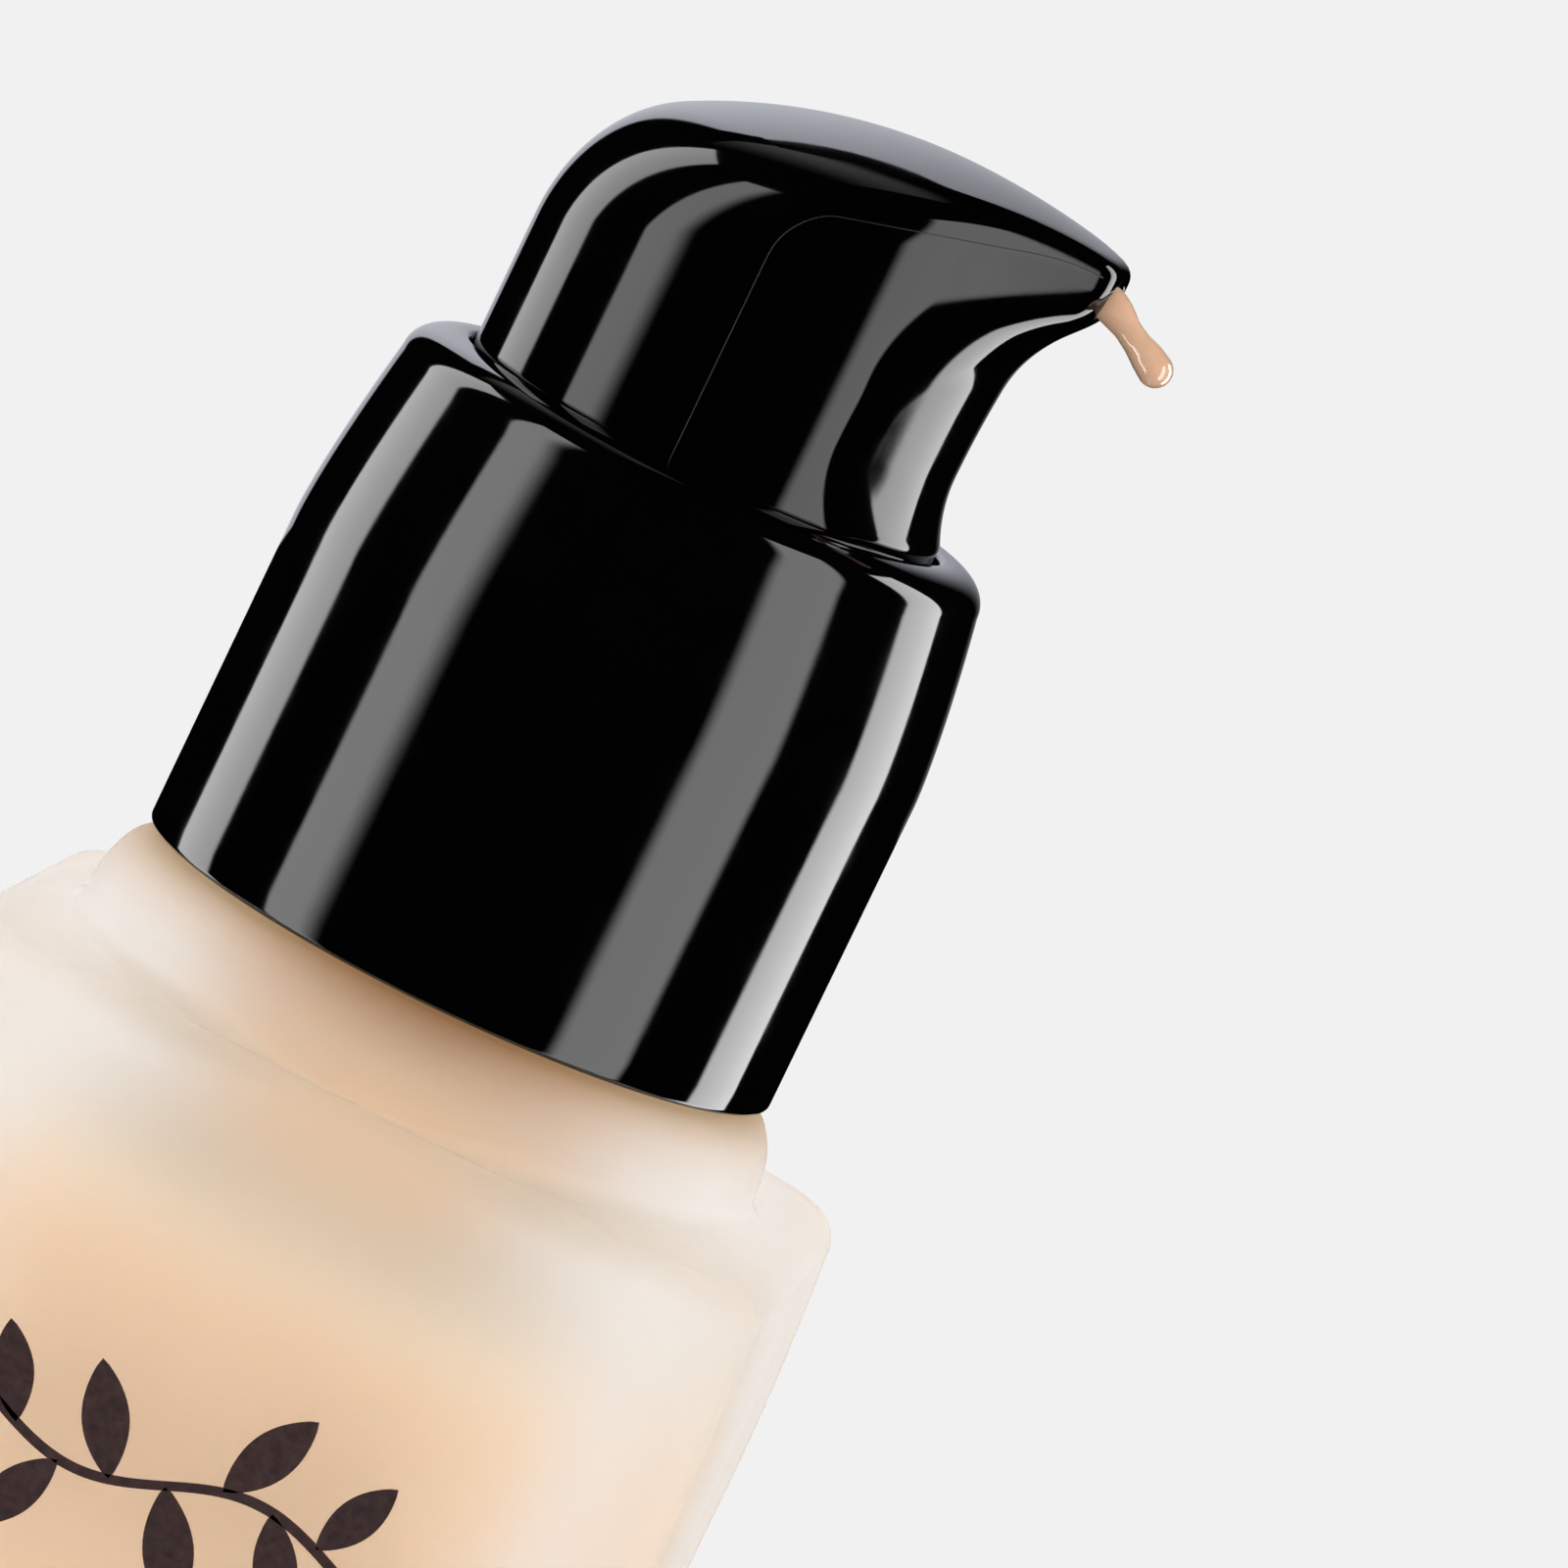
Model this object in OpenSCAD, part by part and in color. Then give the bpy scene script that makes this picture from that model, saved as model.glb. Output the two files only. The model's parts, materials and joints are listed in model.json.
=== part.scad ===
// Foundation bottle: square frosted glass, screw-on lotion pump, glossy collar and spout.
// Millimetres. +Z is up, the origin is the centre of the base, -Y is the printed front
// and +X is the right-hand side, which the spout faces.

/* [Glass body] */
// Width across the flat sides
body_w = 37.4; // [36:0.2:42]
// Depth from front to back
body_d = 34.8; // [34:0.2:42]
// Height of the body up to its flat shoulder
body_h = 61.4; // [58:0.2:63]
// Radius of the upright corners
corner_r = 4.1; // [3:0.1:6]
// Radius of the edge round the shoulder
edge_r = 1.75; // [1:0.05:2.2]
// How far each side leans in just under the shoulder
lean_in = 0.5; // [0:0.1:1]
// Height of the stretch over which the sides lean in
lean_h = 13; // [8:0.5:20]
// Radius of the edge round the base
foot_r = 1.4; // [0.8:0.1:2]
// Thickness of the side walls
wall_t = 5.5; // [4:0.1:6]
// Thickness of the heavy base
base_t = 6; // [4:0.5:10]
// Level of the top of the cavity
cavity_top = 56; // [54:0.5:57]
// Radius of the cavity's edges
cavity_r = 5; // [3:0.5:6]

/* [Neck] */
// Radius of the ring at the foot of the neck, at its base
ring_base_r = 15.1; // [14.4:0.1:15.4]
// Radius of the ring at its top
ring_top_r = 13.2; // [12.6:0.1:13.6]
// Outer radius of the neck
neck_r = 8.9; // [8.7:0.05:9]
// Radius of the neck's bore
bore_r = 6.9; // [6:0.1:7.2]
// Level of the neck's top
neck_top = 78.5; // [78:0.1:79]

/* [Thread] */
// Rise of the thread in one turn
pitch = 3; // [2.8:0.1:3.2]
// Turns of thread on the neck
neck_turns = 1.25; // [1:0.05:1.4]
// Turns of thread in the closure
closure_turns = 1; // [0.8:0.05:1.1]

/* [Collar] */
// Greatest radius of the collar
collar_r = 14; // [13.6:0.1:14.4]
// Level of the collar's lower edge
collar_z = 66; // [65.9:0.1:66.5]
// Height of the collar
collar_h = 23.5; // [22:0.5:25]
// Height over which the collar narrows to its top
collar_curve_h = 9.5; // [7:0.5:11]
// How far the collar narrows
collar_curve_in = 1.05; // [0.6:0.05:1.3]

/* [Actuator] */
// Radius of the actuator
head_r = 10.4; // [10:0.1:10.5]
// Height of the crown above the collar
crown_h = 15.22; // [14:0.1:16]
// Reach of the spout from the pump's axis
spout_x = 12.7; // [12.2:0.1:12.9]
// Angle at which the spout's flanks leave the round body
flank_a = 42; // [38:1:46]
// Angle of the spout from +X when the pump is stored
spout_turn = -10; // [-180:5:180]
// Level of the spout's bore above the collar
spout_h = 12.7; // [12.6:0.05:12.9]
// Distance that the actuator travels
stroke = 4.2; // [3:0.1:4.2]

/* [Pump] */
// Radius of the pump cylinder's bore
cyl_r = 4; // [3.9:0.05:4.1]
// Radius of the stem
stem_r = 2.5; // [2.4:0.05:2.6]
// Radial clearance of a sliding or turning fit
fit = 0.05; // [0.03:0.01:0.08]
// Radius of the inlet ball
ball_r = 1.2; // [1.1:0.05:1.3]
// Radius of the dip tube
tube_r = 1.8; // [1.6:0.1:2]
// Level of the dip tube's lower end
tube_z = 7.2; // [7:0.1:12]

/* [Print] */
// Width of the printed sprig
sprig_w = 24; // [20:0.5:26]
// Level of the sprig's middle
sprig_z = 44.6; // [30:0.2:46]
// Thickness of the ink
ink_t = 0.06; // [0.04:0.01:0.1]

/* [Hidden] */
$fn = 96;

eps = 0.2;                         // overlap where one cut runs into the next
arc_steps = 5;                     // steps in a quarter of a rounded edge
ring_top = collar_z - 0.3;         // top of the ring at the neck's foot
fill_z = 63;                       // level of the foundation in the neck
cavity_w = body_w - 2 * wall_t;
cavity_d = body_d - 2 * wall_t;
cavity_corner_r = 6.5;

gasket_t = 0.8;
flange_r = 8.4;                    // flange of the pump housing, on the gasket
flange_z = neck_top + gasket_t;
flange_t = 1;
turret_r = 5.9;                    // top of the housing, which the closure turns about
turret_top = flange_z + 3.3;
gland_t = 2.6;                     // length of the gland in the turret
gland_r = 4.7;
stop_z = turret_top - gland_t;     // lower face of the gland, where the stem's collar stops
cyl_wall = 0.6;
cyl_floor = 60;                    // floor of the pump's cylinder, which the spring stands on
foot_z = 55.5;                     // lower end of the cylinder's outer wall
tail_z = 48;                       // lower end of the socket for the dip tube
tail_r = 2.9;
tube_wall = 0.5;
tube_top = 54;
seat_z = 56.8;                     // lower edge of the ball's conical seat
seat_r = 0.8;
cage_r = 2;                        // radius of the space that the ball moves in
cage_z = seat_z + cage_r - seat_r;
ball_z = seat_z - seat_r + ball_r * sqrt(2) + 0.02;

stem_bore_r = 1.2;
stem_low = 75;
stem_top = 92;
socket_r = 1.95;                   // counterbore of the stem, which the piston's sleeve enters
socket_top = 77.9;
collar_stop_r = 3.4;               // collar on the stem, which the gland keeps in
collar_stop_t = 0.7;
piston_low = 72;
piston_top = 74.2;
sleeve_top = 77;
sleeve_r = socket_r - fit;
piston_bore_r = 1.45;
rod_r = 1;
rod_head_r = 2.3;
rod_head_low = 70.5;
rod_low = 66;
rod_top = 84;

spring_wire = 0.25;                // radius of the wire
spring_r = 2.6;
spring_turns = 6;
spring_low = cyl_floor + spring_wire;
spring_high = rod_head_low - spring_wire;
wire_sides = 6;
coil_steps = 24;

closure_r = 11.7;
closure_bore_r = 10.1;
closure_low = 68;
closure_top_z = flange_z + flange_t;
closure_top_t = 1.2;
thread_z = 70.6;                   // start of the neck's thread
thread_base = 1.2;
thread_crest = 0.7;
neck_thread_r = 9.8;
closure_thread_r = 9.15;
thread_root = 0.3;                 // how far a thread is sunk in its wall
thread_steps = 36;

collar_top = collar_z + collar_h;
collar_bore_r = head_r + 0.16;
collar_wall = 1.3;
rim_h = 1.5;                       // height of the collar's rounded rim
rim_crest_r = 11.05;               // radius at the rim's highest point
sleeve_wall = 0.95;                // sleeve that guides the actuator
collar_sleeve_h = 4.3;
grip_t = 1.2;                      // height of the rings that grip the closure
ledge_z = closure_top_z + closure_top_t;

head_low = ledge_z + 0.2 + stroke - collar_top;  // lower edge, just clear of the closure
head_wall = 1.2;
head_roof = 8.5;                   // roof of the hollow in the actuator
hollow_front = 6.9;                // front wall of that hollow
post_r = 3.2;
post_top = 12;
post_low = -1.95;
post_roof = stem_top - collar_top;
pipe_r = 1.2;                      // pipe from the post to the spout
pipe_bore_r = 0.7;
pipe_end = 9.6;
nozzle_r = 0.85;
nozzle_bore_r = 0.55;
nozzle_recess = 1.05;              // how far the nozzle sits behind the spout's tip

// ---- shared shapes --------------------------------------------------------------------

// Outline of a rectangle with round corners
function rounded_outline(w, d, r) = [
    for (corner = [0:3])
        for (i = [0:arc_steps])
            let (a = 90 * (corner + i / arc_steps))
            let (sx = corner == 0 || corner == 3 ? 1 : -1)
            let (sy = corner < 2 ? 1 : -1)
            [sx * (w / 2 - r) + r * cos(a), sy * (d / 2 - r) + r * sin(a)]
];

// Block with round corners, skinned over slices, each [how far it is drawn in, level]
module sliced_block(w, d, r, slices) {
    ring_skin([
        for (s = slices)
            let (outline = rounded_outline(w - 2 * s[0], d - 2 * s[0], r - s[0] / 2))
            [for (p = outline) [p[0], p[1], s[1]]]
    ]);
}

// Closed skin over a list of rings that have the same number of points. Seen from the last
// ring, each ring's points run anticlockwise.
module ring_skin(rings) {
    n = len(rings[0]);
    last = len(rings) - 1;
    points = [for (ring = rings) for (p = ring) p];
    sides = [
        for (i = [0:last - 1])
            for (j = [0:n - 1])
                for (half = [0, 1])
                    let (a = i * n + j)
                    let (b = i * n + (j + 1) % n)
                    half == 0 ? [a, a + n, b] : [b, a + n, b + n]
    ];
    low_cap = [[for (j = [0:n - 1]) j]];
    high_cap = [[for (j = [n - 1:-1:0]) last * n + j]];
    polyhedron(points, concat(sides, low_cap, high_cap), convexity = 6);
}

module tube(outer, inner, low, high) {
    difference() {
        translate([0, 0, low]) cylinder(r = outer, h = high - low);
        translate([0, 0, low - 1]) cylinder(r = inner, h = high - low + 2);
    }
}

module bore(r, low, high) {
    translate([0, 0, low]) cylinder(r = r, h = high - low);
}

// Helical ridge, sunk in the wall at root_r and standing out to crest_r
module thread_ridge(root_r, crest_r, low, turns) {
    steps = round(turns * thread_steps);
    ring_skin([
        for (i = [0:steps])
            let (a = 360 * turns * i / steps)
            let (run_in = min(1, 0.25 + min(i, steps - i) / 5))
            let (r = root_r + (crest_r - root_r) * run_in)
            let (z = low + pitch * turns * i / steps)
            let (up = crest_r > root_r ? 1 : -1)
            [for (p = [[root_r, -thread_base], [root_r, thread_base],
                       [r, thread_crest], [r, -thread_crest]])
                [p[0] * cos(a), p[0] * sin(a), z + up * p[1] / 2]]
    ]);
}

// ---- glass, contents and print --------------------------------------------------------

body_slices = concat(
    [for (i = [0:arc_steps])
        let (a = 90 * i / arc_steps)
        [foot_r * (1 - sin(a)), foot_r * (1 - cos(a))]],
    [for (i = [0:arc_steps])
        let (t = i / arc_steps)
        [lean_in * t * t, body_h - lean_h + t * (lean_h - edge_r)]],
    [for (i = [1:arc_steps])
        let (a = 90 * i / arc_steps)
        [lean_in + edge_r * (1 - cos(a)), body_h - edge_r * (1 - sin(a))]]);

// Slices of the cavity, drawn in by gap
function cavity_slices(gap) = concat(
    [for (i = [0:arc_steps])
        let (a = 90 * i / arc_steps)
        [gap + cavity_r * (1 - sin(a)), base_t + gap + cavity_r * (1 - cos(a))]],
    [for (i = [0:arc_steps])
        let (a = 90 * i / arc_steps)
        [gap + cavity_r * (1 - cos(a)), cavity_top - gap - cavity_r * (1 - sin(a))]]);

module cavity(gap) {
    sliced_block(cavity_w, cavity_d, cavity_corner_r, cavity_slices(gap));
}

// Ring at the foot of the neck, round in profile
module neck_ring() {
    height = ring_top - body_h;
    width = ring_base_r - ring_top_r;
    outline = concat(
        [[neck_r - 1, body_h - 1], [ring_base_r, body_h - 1]],
        [for (i = [0:8])
            let (a = 90 * i / 8)
            [ring_top_r + width * cos(a), body_h + height * sin(a)]],
        [[neck_r - 1, ring_top]]);
    rotate_extrude() polygon(outline);
}

module glass_bottle() {
    color([0.93, 0.9, 0.86, 0.5])
    difference() {
        union() {
            sliced_block(body_w, body_d, corner_r, body_slices);
            neck_ring();
            bore(neck_r, body_h - 1, neck_top);
            thread_ridge(neck_r - thread_root, neck_thread_r, thread_z, neck_turns);
        }
        cavity(0);
        bore(bore_r, cavity_top - 1, neck_top + 1);
    }
}

module foundation_liquid() {
    gap = 0.05;
    color([0.9, 0.74, 0.6])
    difference() {
        union() {
            cavity(gap);
            bore(bore_r - gap, cavity_top - 1, fill_z);
        }
        bore(tube_r + gap, base_t - 1, tail_z);
        bore(tail_r + 2 * gap, tail_z - gap, foot_z);
        bore(cyl_r + cyl_wall + 2 * gap, foot_z - gap, fill_z + 1);
    }
}

// Outline of a leaf that starts at the origin and points along +X
function leaf_outline(length, width) = concat(
    [for (i = [0:8]) [length * i / 8, width / 2 * pow(sin(180 * i / 8), 0.8)]],
    [for (i = [7:-1:1]) [length * i / 8, -width / 2 * pow(sin(180 * i / 8), 0.8)]]);

// Height of the sprig's stem at x
function stem_wave(x) = sin(x * 360 / (sprig_w * 0.62));

module sprig_outline() {
    leaf_count = 11;
    for (i = [0:leaf_count - 1]) {
        x = sprig_w * (i / (leaf_count - 1) - 0.5) * 0.9;
        side = i % 2 == 0 ? 1 : -1;
        long = 5.2 - abs(x) * 0.16;
        translate([x, stem_wave(x)])
            rotate(side * (x < 0 ? 118 : 62))
                polygon(leaf_outline(long, long * 0.4));
    }
    stem_t = 0.42;
    stem_points = 40;
    xs = [for (i = [0:stem_points]) sprig_w * (i / stem_points - 0.5)];
    polygon(concat(
        [for (x = xs) [x, stem_wave(x) + stem_t / 2]],
        [for (i = [stem_points:-1:0]) [xs[i], stem_wave(xs[i]) - stem_t / 2]]));
}

module dot_row() {
    dots = 15;
    for (i = [0:dots - 1])
        translate([(i - (dots - 1) / 2) * 1.25, -7.2])
            circle(r = i % 7 == 0 ? 0.42 : 0.22, $fn = 16);
}

module front_print() {
    color([0.2, 0.12, 0.1])
    translate([0, -body_d / 2, sprig_z])
        rotate([90, 0, 0])
            linear_extrude(ink_t) {
                sprig_outline();
                dot_row();
            }
}

// ---- pump -----------------------------------------------------------------------------

module neck_gasket() {
    color([0.86, 0.86, 0.84])
    tube(neck_r - 0.1, bore_r, neck_top, flange_z);
}

module pump_housing() {
    color([0.94, 0.94, 0.92])
    difference() {
        union() {
            bore(cyl_r + cyl_wall, foot_z, flange_z + flange_t);
            bore(tail_r, tail_z, foot_z + eps);
            bore(flange_r, flange_z, flange_z + flange_t);
            bore(turret_r, flange_z, turret_top);
        }
        bore(tube_r, tail_z - 1, tube_top);
        bore(seat_r, tube_top - eps, seat_z + eps);
        translate([0, 0, seat_z])
            cylinder(r1 = seat_r, r2 = cage_r, h = cage_z - seat_z);
        bore(cage_r, cage_z, cyl_floor + eps);
        bore(cyl_r, cyl_floor, stop_z);
        bore(gland_r, stop_z, turret_top + 1);
    }
}

module stem_gland() {
    color([0.88, 0.88, 0.86])
    difference() {
        union() {
            bore(gland_r, stop_z, turret_top);
            bore(turret_r - 0.4, turret_top, turret_top + 0.6);
        }
        bore(stem_r + fit, stop_z - 1, turret_top + 2);
    }
}

module dip_tube() {
    color([0.9, 0.92, 0.93, 0.7])
    tube(tube_r, tube_r - tube_wall, tube_z, tube_top);
}

module inlet_ball() {
    color([0.8, 0.82, 0.84])
    translate([0, 0, ball_z]) sphere(r = ball_r);
}

module return_spring() {
    steps = spring_turns * coil_steps;
    color([0.75, 0.77, 0.8])
    ring_skin([
        for (i = [0:steps])
            let (a = 360 * i / coil_steps)
            let (z = spring_low + (spring_high - spring_low) * i / steps)
            [for (j = [0:wire_sides - 1])
                let (b = -360 * j / wire_sides)
                let (r = spring_r + spring_wire * cos(b))
                [r * cos(a), r * sin(a), z + spring_wire * sin(b)]]
    ]);
}

// Rod under the stem: its head is the outlet valve, and its top has flutes for the flow
module plunger_rod() {
    flute_w = 0.7;
    head_t = piston_low - 0.05 - rod_head_low;
    color([0.92, 0.92, 0.9])
    difference() {
        union() {
            bore(rod_r, rod_low, socket_top);
            bore(stem_bore_r - fit, socket_top - eps, rod_top);
            bore(rod_head_r, rod_head_low, rod_head_low + head_t);
        }
        for (side = [-1, 1])
            translate([side * (rod_r + 0.05), 0, socket_top + 4])
                cube([flute_w, 2 * rod_r + 1, 9], center = true);
    }
}

module piston() {
    lip_r = cyl_r - fit;
    web_r = cyl_r - 0.7;
    color([0.95, 0.95, 0.94])
    difference() {
        union() {
            bore(web_r, piston_low, piston_top);
            tube(lip_r, web_r - eps, piston_low, piston_low + 0.7);
            tube(lip_r, web_r - eps, piston_top - 0.7, piston_top);
            bore(sleeve_r, piston_low, sleeve_top);
        }
        bore(piston_bore_r, piston_low - 1, sleeve_top + 1);
    }
}

module stem() {
    color([0.93, 0.93, 0.91])
    difference() {
        union() {
            bore(stem_r, stem_low, stem_top);
            bore(collar_stop_r, stop_z - 0.1 - collar_stop_t, stop_z - 0.1);
        }
        bore(socket_r, stem_low - 1, socket_top);
        bore(stem_bore_r, socket_top - eps, stem_top + 1);
    }
}

// ---- closure and collar ---------------------------------------------------------------

module screw_closure() {
    color([0.16, 0.16, 0.17])
    difference() {
        union() {
            difference() {
                bore(closure_r, closure_low, ledge_z);
                bore(closure_bore_r, closure_low - 1, closure_top_z);
            }
            thread_ridge(closure_bore_r + thread_root, closure_thread_r,
                thread_z + pitch / 2, closure_turns);
        }
        bore(turret_r + fit, closure_top_z - 1, ledge_z + 1);
    }
}

// Profile of the collar's outside, from its lower edge to the mouth of its bore
function collar_outline() = concat(
    [[collar_r - 0.25, collar_z], [collar_r, collar_z + 0.25]],
    [for (i = [0:8])
        let (rise = (collar_curve_h - rim_h) * i / 8)
        [collar_r - collar_curve_in * pow(rise / (collar_curve_h - rim_h), 1.4),
         collar_top - collar_curve_h + rise]],
    [for (i = [1:6])
        let (a = 86 * i / 6)
        [rim_crest_r + (collar_r - collar_curve_in - rim_crest_r) * cos(a),
         collar_top - rim_h * (1 - sin(a))]],
    [[rim_crest_r - 0.15, collar_top - 0.03], [collar_bore_r + 0.08, collar_top - 0.12],
     [collar_bore_r, collar_top - 0.35]]);

module outer_collar() {
    inner_r = collar_r - collar_wall;
    color([0.03, 0.03, 0.035])
    difference() {
        rotate_extrude()
            polygon(concat([[collar_bore_r, collar_z]], collar_outline()));
        bore(inner_r, collar_z - 1, closure_low + 1);
        bore(closure_r + 0.02, closure_low, ledge_z);
        bore(inner_r, closure_low + 1 + grip_t, ledge_z - 1 - grip_t);
        bore(inner_r, ledge_z - 1, ledge_z);
        bore(collar_bore_r + sleeve_wall, ledge_z - eps, collar_top - collar_sleeve_h + eps);
        difference() {
            bore(inner_r - 0.3, ledge_z + grip_t, collar_top - 1.6);
            bore(collar_bore_r + sleeve_wall, collar_top - collar_sleeve_h, collar_top);
        }
    }
}

// ---- actuator, in its own frame: spout along +X, levels counted from the collar's top -----

module head_frame() {
    translate([0, 0, collar_top]) rotate([0, 0, spout_turn]) children();
}

function smooth_max(a, b, k) = max(a, b) + pow(max(k - abs(a - b), 0), 2) / (4 * k);
function smooth_min(a, b, k) = -smooth_max(-a, -b, k);
function arc_dip(d, r) = r - sqrt(r * r - d * d);

// Level of the crown, which is highest at crown_x and falls to both sides
crown_x = 4.8;
crown_back_r = 24.6;
crown_front_r = 32;
function crown(x, y) = crown_h
    - (x < crown_x ? arc_dip(crown_x - x, crown_back_r) : arc_dip(x - crown_x, crown_front_r))
    - (0.026 - 0.0006 * x) * y * y;

// Plan of the actuator: a circle with two flanks that run to the spout's tip, and a full
// circle where it enters the collar
function head_plan(x, y, h) =
    abs(atan2(y, x)) > flank_a
    ? norm([x, y]) - head_r
    : max(norm([x, y]) - head_r - max(0, h),
        smooth_max(x * cos(flank_a) + abs(y) * sin(flank_a) - head_r, x - spout_x, 0.5));

// Hollow front under the spout: a waisted wall, round in plan, which swells to the flanks
waist_r = 9.66;                    // radius of that wall at its waist
waist_h = 3.3;                     // level of the waist
swell_a = 14;                      // angle to each side at which the wall starts to swell
function waist(h) = waist_r + pow(h - waist_h, 2) / (h < waist_h ? 12.4 : 90);
function swell(x, y) = 0.3 * pow(max(0, abs(atan2(y, x)) - swell_a) / 24, 3.3);

// Underside of the spout: a plane that rises forward from under_h at under_x
under_x = 10.35;
under_h = 10.2;
under_slope = 0.6;
function underside(x, h) = (under_h + under_slope * (x - under_x) - h) * 0.82;
function head_front(x, y, h) =
    smooth_min(norm([x, y]) - waist(h) - swell(x, y), underside(x, h), 2);

// Share of a smooth step, from 0 to 1
function smooth_step(t) = let (u = max(0, min(1, t))) u * u * (3 - 2 * u);

// Roundness of the crown's edge, softest at the back, and of the front's edges, softest
// under the spout
function crown_edge(x) = max(0.6, 2.5 - 0.15 * x);
function front_edge(h) = 0.7 - 0.15 * smooth_step(h / 3) + 0.9 * smooth_step((h - 5) / 5);

// Negative inside the actuator
function head_field(x, y, h) = smooth_max(
    smooth_max(head_plan(x, y, h), 0.92 * (h - crown(x, y)), crown_edge(x)),
    head_front(x, y, h), front_edge(h));

// Distance from [0, 0, h] to the surface, in the direction of angle a and slope e
function head_reach(a, e, h, near = 0, far = 24, n = 22) =
    let (mid = (near + far) / 2)
    n == 0 ? mid
    : head_field(mid * cos(e) * cos(a), mid * cos(e) * sin(a), h + mid * sin(e)) < 0
    ? head_reach(a, e, h, mid, far, n - 1)
    : head_reach(a, e, h, near, mid, n - 1);

fan_h = 12.9;                      // level above which the skin is sampled in a fan
level_count = 17;
fan_count = 12;
head_sides = 72;
head_rows = concat(
    [for (i = [0:level_count]) [head_low + (fan_h - head_low) * i / level_count, 0]],
    [for (i = [1:fan_count]) [fan_h, 82 * pow(i / fan_count, 1.2)]]);

module head_solid() {
    ring_skin([
        for (row = head_rows)
            [for (j = [0:head_sides - 1])
                let (a = 360 * j / head_sides)
                let (d = head_reach(a, row[1], row[0]))
                [d * cos(row[1]) * cos(a), d * cos(row[1]) * sin(a), row[0] + d * sin(row[1])]]
    ]);
}

// Round bar along +X at the level of the spout's bore
module spout_bar(r, from, to) {
    translate([from, 0, spout_h]) rotate([0, 90, 0]) cylinder(r = r, h = to - from);
}

module actuator_shell() {
    inner_r = head_r - head_wall;
    color([0.03, 0.03, 0.035])
    head_frame() difference() {
        head_solid();
        intersection() {
            bore(inner_r, head_low - 1, head_roof);
            translate([-inner_r - 1, -inner_r - 1, head_low - 1])
                cube([inner_r + 1 + hollow_front, 2 * inner_r + 2, 20]);
        }
        bore(post_r, head_roof - eps, post_top);
        spout_bar(pipe_r, 0, pipe_end);
        spout_bar(nozzle_r, pipe_end - eps, spout_x + 1);
        bore(pipe_r, post_top - eps, spout_h);
    }
}

module actuator_core() {
    color([0.9, 0.9, 0.88])
    head_frame() difference() {
        union() {
            bore(post_r, post_low, post_top);
            bore(pipe_r, post_top - eps, spout_h);
            spout_bar(pipe_r, 0, pipe_end);
        }
        bore(stem_r, post_low - 1, post_roof);
        bore(stem_bore_r, post_roof - eps, head_roof);
        bore(pipe_bore_r, head_roof - eps, spout_h);
        spout_bar(pipe_bore_r, 0, pipe_end + 1);
    }
}

module nozzle_insert() {
    color([0.1, 0.1, 0.1])
    head_frame() difference() {
        spout_bar(nozzle_r, pipe_end, spout_x - nozzle_recess);
        spout_bar(nozzle_bore_r, pipe_end - 1, spout_x + 1);
    }
}

// Bead of foundation that hangs from the spout: each ball is [x, level, radius]
module product_drop() {
    balls = [[12.4, 12.6, 0.72], [13.6, 12.05, 0.54], [14.7, 11.5, 0.66], [15.3, 11.05, 0.76]];
    color([0.88, 0.7, 0.56])
    head_frame() hull()
        for (b = balls)
            translate([b[0], 0, b[1]]) sphere(r = b[2], $fn = 20);
}

glass_bottle();
foundation_liquid();
front_print();
neck_gasket();
pump_housing();
stem_gland();
dip_tube();
inlet_ball();
return_spring();
plunger_rod();
piston();
stem();
screw_closure();
outer_collar();
actuator_core();
actuator_shell();
nozzle_insert();
product_drop();
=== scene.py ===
"""Foundation bottle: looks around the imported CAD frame.

Geometry is written in millimetres in the part's own frame and scaled to metres when a mesh is
made. +Z is up, -Y is the printed front, +X is the side that the spout faces.
"""

import json
import math

import bpy
import numpy as np
from mathutils import Matrix, Vector


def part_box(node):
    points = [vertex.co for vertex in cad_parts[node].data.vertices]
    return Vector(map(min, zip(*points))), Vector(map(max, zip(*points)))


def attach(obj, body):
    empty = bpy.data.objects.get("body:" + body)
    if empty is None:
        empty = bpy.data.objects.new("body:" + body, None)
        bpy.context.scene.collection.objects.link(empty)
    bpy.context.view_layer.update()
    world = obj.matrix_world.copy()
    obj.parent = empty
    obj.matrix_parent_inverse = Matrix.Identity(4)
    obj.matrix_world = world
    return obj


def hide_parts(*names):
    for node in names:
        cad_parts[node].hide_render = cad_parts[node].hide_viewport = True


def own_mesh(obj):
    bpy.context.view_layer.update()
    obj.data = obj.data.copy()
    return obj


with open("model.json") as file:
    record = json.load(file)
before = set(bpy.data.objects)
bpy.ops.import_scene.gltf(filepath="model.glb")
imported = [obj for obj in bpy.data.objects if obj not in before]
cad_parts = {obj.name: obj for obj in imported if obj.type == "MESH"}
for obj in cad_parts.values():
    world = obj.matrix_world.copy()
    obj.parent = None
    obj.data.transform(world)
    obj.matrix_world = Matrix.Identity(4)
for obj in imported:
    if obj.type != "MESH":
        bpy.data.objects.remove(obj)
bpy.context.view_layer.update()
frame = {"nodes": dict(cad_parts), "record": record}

MM = 0.001

# ---- sizes, in millimetres ---------------------------------------------------------------------
# The body's, the neck's and the collar's outer sizes are read from the frame. The others repeat
# part.scad, because a node's box doesn't hold them.


def size_of(node):
    """(lowest corner, highest corner) of a CAD node, in millimetres."""
    low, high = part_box(node)
    return np.array(low) / MM, np.array(high) / MM


glass_low, glass_high = size_of("glass_bottle")
collar_low, collar_high = size_of("outer_collar")
BODY_W = glass_high[0] - glass_low[0]
BODY_D = glass_high[1] - glass_low[1]
NECK_TOP = glass_high[2]
COLLAR_Z = collar_low[2]
COLLAR_R = collar_high[0]
COLLAR_H = 23.5
COLLAR_TOP = COLLAR_Z + COLLAR_H

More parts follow.
